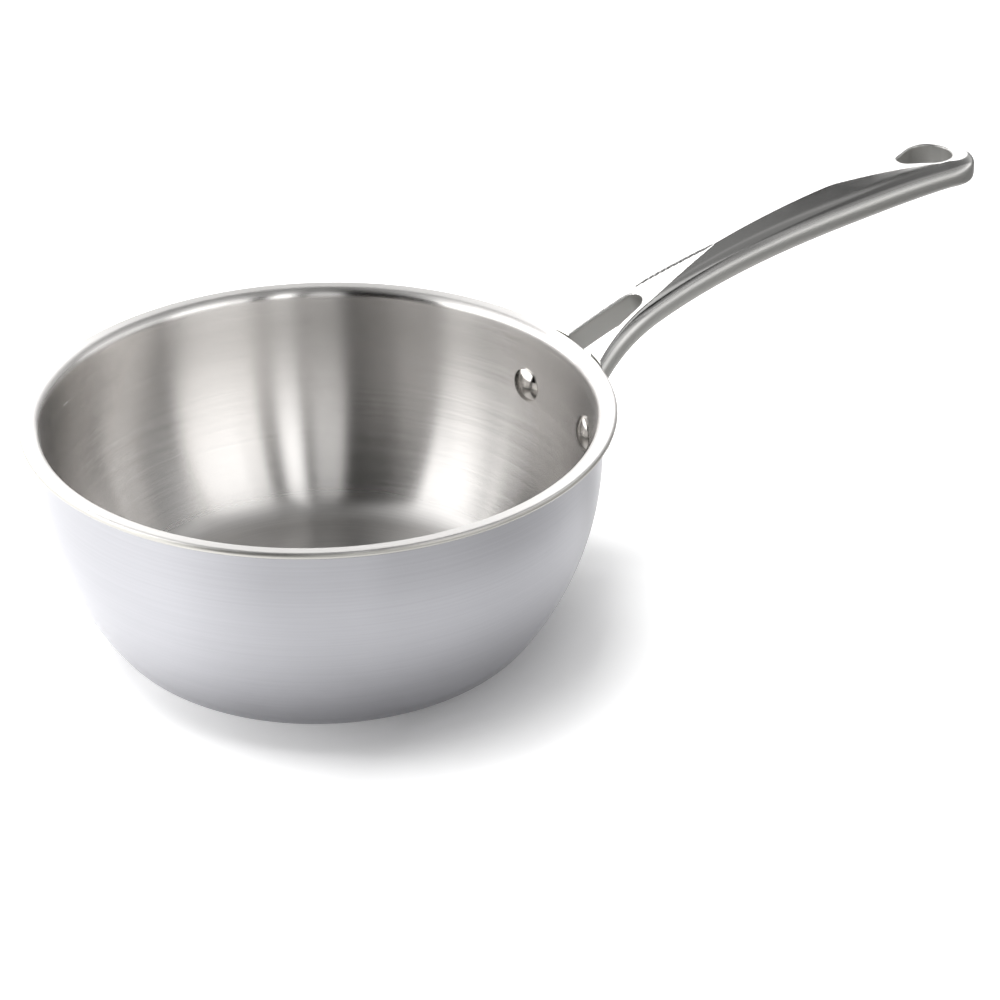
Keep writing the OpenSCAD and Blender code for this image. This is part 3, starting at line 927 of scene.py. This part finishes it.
@dataclass
class Studio:
    """The camera, a white floor, soft lamps and the room that metal reflects."""

    position: tuple[float, float, float] = (-390.7, -889.6, 594.3)
    azimuth: float = 28.0
    elevation: float = 29.05
    lens: float = 97.2
    glow_in_painted_shadow: float = 0.13
    glow_past_painted_shadow: float = 0.37
    painted_shadow_from: float = 88
    painted_shadow_to: float = 122
    painted_window_light: float = 0.5
    painted_window_light_from: float = 70
    painted_window_light_to: float = -40
    paper_turn: float = -55
    paper_edge: float = 200
    ambient: float = 0.34
    room_level: float = 5.0
    lamp_distance: float = 2.2
    key_azimuth: float = 140
    key_elevation: float = 79
    key_size: float = 1.3
    key_watts: float = 66
    paper_from: float = 43
    paper_to: float = 115
    paper_room: tuple[Point, ...] = (
        (0, 0.45), (26, 0.45), (34, 0.7), (40, 0.7), (43, 0.02), (50, 0.025), (55, 0.06),
        (60, 0.1), (65, 0.07), (90, 0.06))
    room: tuple[Point, ...] = (
        (0, 0.25), (7, 0.3), (13, 1), (25, 1), (35, 0.65), (45, 0.42), (60, 0.3), (75, 0.2), (90, 0.18))
    panels: tuple[tuple[float, float, float], ...] = (
        (-180, -170, 0.9), (-167, -127, 0), (-124, -112, 0.3), (-109, -106, 0.04),
        (-103, -96, 0.8), (-93, -86, 0.03), (-85, -76, 0.5), (-74, -51, 0.65),
        (-48, -41, 0.3), (-38, -2, 0.4), (2, 26, 0.16), (29, 112, 0.14), (118, 180, 1))

    def camera(self) -> None:
        """Adds the camera at the photograph's viewing angle."""
        data = bpy.data.cameras.new("camera")
        data.lens = self.lens
        data.sensor_width = 36
        data.clip_start = 0.05
        data.clip_end = 50
        turn, tip = math.radians(self.azimuth), math.radians(self.elevation)
        forward = Vector((
            math.cos(tip) * math.sin(turn), math.cos(tip) * math.cos(turn), -math.sin(tip)))
        right = Vector((math.cos(turn), -math.sin(turn), 0))
        up = right.cross(forward)
        axes = Matrix((right, up, -forward)).transposed().to_4x4()
        camera = bpy.data.objects.new("camera", data)
        camera.matrix_world = Matrix.Translation(Vector(self.position) * MM) @ axes
        bpy.context.scene.collection.objects.link(camera)
        bpy.context.scene.camera = camera

    def floor(self) -> None:
        """Adds the white floor, which keeps the pan's shadow, with a painted shadow and a painted light in
        its glow.
        """
        mesh = bpy.data.meshes.new("floor")
        reach = 6.0
        mesh.from_pydata(
            [(-reach, -reach, 0), (reach, -reach, 0), (reach, reach, 0), (-reach, reach, 0)],
            [], [(0, 1, 2, 3)])
        material = bpy.data.materials.new("matt_white_paper")
        material.use_nodes = True
        tree = material.node_tree
        tree.nodes.clear()
        place = add_node(tree, "ShaderNodeTexCoord").outputs["Object"]
        # Past the paper's edge the studio's floor is darker, which only the metal shows
        turn = math.radians(self.paper_turn)
        out = add_node(tree, "ShaderNodeVectorMath", {
            0: place, 1: (math.cos(turn), math.sin(turn), 0),
        }, operation="DOT_PRODUCT").outputs["Value"]
        beyond = add_node(tree, "ShaderNodeMapRange", {
            0: out, 1: self.paper_edge * MM, 2: (self.paper_edge + 100) * MM,
        }, interpolation_type="SMOOTHSTEP")
        camera_ray = add_node(tree, "ShaderNodeLightPath").outputs["Is Camera Ray"]
        white = add_node(tree, "ShaderNodeMath", {0: 1.0, 1: camera_ray}, operation="SUBTRACT")
        dark = add_node(tree, "ShaderNodeMath", {0: beyond, 1: white}, operation="MULTIPLY")
        colour = add_node(tree, "ShaderNodeMix", {
            0: dark, 6: linear("#f2f2f2"), 7: linear("#939393"),
        }, data_type="RGBA").outputs[2]
        paper = add_node(tree, "ShaderNodeBsdfDiffuse", {"Color": colour})
        # Painted shadow: the paper glows for the camera and the metal, less so close to the pan, which
        # deepens the pan's shadow there
        radius = add_node(tree, "ShaderNodeVectorMath", {0: place}, operation="LENGTH").outputs["Value"]
        level = add_node(tree, "ShaderNodeMapRange", {
            0: radius, 1: self.painted_shadow_from * MM, 2: self.painted_shadow_to * MM, 3: self.glow_in_painted_shadow, 4: self.glow_past_painted_shadow,
        }, interpolation_type="SMOOTHSTEP")
        # Painted light: the glow is stronger towards the window, which lightens the shadow on that side
        side = add_node(tree, "ShaderNodeMapRange", {
            0: out, 1: self.painted_window_light_from * MM, 2: self.painted_window_light_to * MM, 3: 0.0, 4: self.painted_window_light,
        })
        level = add_node(tree, "ShaderNodeMath", {0: level, 1: side}, operation="ADD")
        level = add_node(tree, "ShaderNodeMix", {0: dark, 2: level, 3: 0.0}, data_type="FLOAT")
        # The glow is painted light and shadow, not a lamp, and only the camera and the metal see it
        white_glow_with_painted_light = add_node(tree, "ShaderNodeEmission", {"Strength": self.seen(tree, level)})
        both = add_node(tree, "ShaderNodeAddShader", {0: paper, 1: white_glow_with_painted_light})
        add_node(tree, "ShaderNodeOutputMaterial", {0: both})
        mesh.materials.append(material)
        new_object("floor", mesh)

    @staticmethod
    def seen(tree: bpy.types.NodeTree, strength: bpy.types.Node) -> bpy.types.Node:
        """A strength that only the camera and metal or glass see."""
        path = add_node(tree, "ShaderNodeLightPath").outputs
        clear = add_node(tree, "ShaderNodeMath", {
            0: path["Is Glossy Ray"], 1: path["Is Transmission Ray"],
        }, operation="MAXIMUM")
        clear = add_node(tree, "ShaderNodeMath", {
            0: path["Is Camera Ray"], 1: clear,
        }, operation="MAXIMUM")
        return add_node(tree, "ShaderNodeMath", {0: clear, 1: strength}, operation="MULTIPLY")

    def lamp(self, name: str, azimuth: float, elevation: float, size: float, watts: float) -> None:
        """Adds a square soft lamp that points at the pan from its distance."""
        data = bpy.data.lights.new(name, "AREA")
        data.size = size
        data.energy = watts
        lamp = bpy.data.objects.new(name, data)
        turn, rise = math.radians(azimuth), math.radians(elevation)
        way = Vector((math.cos(rise) * math.cos(turn), math.cos(rise) * math.sin(turn), math.sin(rise)))
        lamp.location = way * self.lamp_distance
        lamp.rotation_euler = (-way).to_track_quat("-Z", "Y").to_euler()
        # Silk hides it from the metal, which reflects the panels instead
        lamp.visible_glossy = False
        bpy.context.scene.collection.objects.link(lamp)

    def surroundings(self) -> None:
        """Sets the world: a white background, and the room that metal reflects."""
        world = bpy.data.worlds.new("studio_room")
        bpy.context.scene.world = world
        world.use_nodes = True
        tree = world.node_tree
        tree.nodes.clear()
        way = add_node(tree, "ShaderNodeTexCoord").outputs["Generated"]
        x, y, z = add_node(tree, "ShaderNodeSeparateXYZ", {0: way}).outputs
        # White paper rises behind the pan, below a dark ceiling with one strip lamp
        paper = add_node(tree, "ShaderNodeValToRGB", {0: z}, stops=self.heights(self.paper_room))
        # Round the rest stand white panels with dark gaps, and a window on the left
        turn = add_node(tree, "ShaderNodeMath", {0: y, 1: x}, operation="ARCTAN2")
        share = add_node(tree, "ShaderNodeMapRange", {0: turn, 1: -math.pi, 2: math.pi})
        panels = add_node(tree, "ShaderNodeValToRGB", {0: share}, stops=self.panel_stops(self.panels))
        height = add_node(tree, "ShaderNodeValToRGB", {0: z}, stops=self.heights(self.room))
        round_it = add_node(tree, "ShaderNodeMath", {0: panels, 1: height}, operation="MULTIPLY")
        behind = add_node(tree, "ShaderNodeValToRGB", {0: share}, stops=self.panel_stops((
            (-180, self.paper_from, 0), (self.paper_from + 3, self.paper_to - 2, 1),
            (self.paper_to + 1, 180, 0))))
        room = add_node(tree, "ShaderNodeMix", {0: behind, 2: round_it, 3: paper}, data_type="FLOAT")
        bright = add_node(tree, "ShaderNodeMath", {0: room, 1: self.room_level}, operation="MULTIPLY")
        path = add_node(tree, "ShaderNodeLightPath").outputs
        clear = add_node(tree, "ShaderNodeMath", {
            0: path["Is Glossy Ray"], 1: path["Is Transmission Ray"],
        }, operation="MAXIMUM")
        ambient = add_node(tree, "ShaderNodeMix", {
            0: clear, 2: self.ambient, 3: bright,
        }, data_type="FLOAT")
        strength = add_node(tree, "ShaderNodeMix", {
            0: path["Is Camera Ray"], 2: ambient, 3: 1.0,
        }, data_type="FLOAT")
        light = add_node(tree, "ShaderNodeBackground", {"Strength": strength})
        add_node(tree, "ShaderNodeOutputWorld", {0: light})

    @staticmethod
    def heights(levels: Sequence[Point]) -> list[Point]:
        """Turns pairs of degrees above the horizon and level into ramp stops."""
        return [(math.sin(math.radians(degrees)), level) for degrees, level in levels]

    @staticmethod
    def panel_stops(panels: Sequence[tuple[float, float, float]]) -> list[Point]:
        """Turns panels (azimuth from, to, level) into ramp stops, with soft edges between them."""
        stops = []
        for start, end, level in panels:
            stops += [((start + 0.5 + 180) / 360, level), ((end - 0.5 + 180) / 360, level)]
        return stops

    def build(self) -> None:
        """Builds the studio."""
        self.camera()
        self.floor()
        self.surroundings()
        self.lamp("key_softbox", self.key_azimuth, self.key_elevation, self.key_size, self.key_watts)
        bpy.context.scene.view_settings.view_transform = "Standard"


def main() -> None:
    """Builds the studio and every piece, in order."""
    logging.basicConfig(level=logging.INFO, format="%(message)s")
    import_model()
    Studio().build()
    wall = Wall()
    CladBowl(wall, Turning(320)).build()
    CastHandle(wall).build()
    Rivets(wall, Turning(96)).build()


if __name__ == "__main__":
    main()
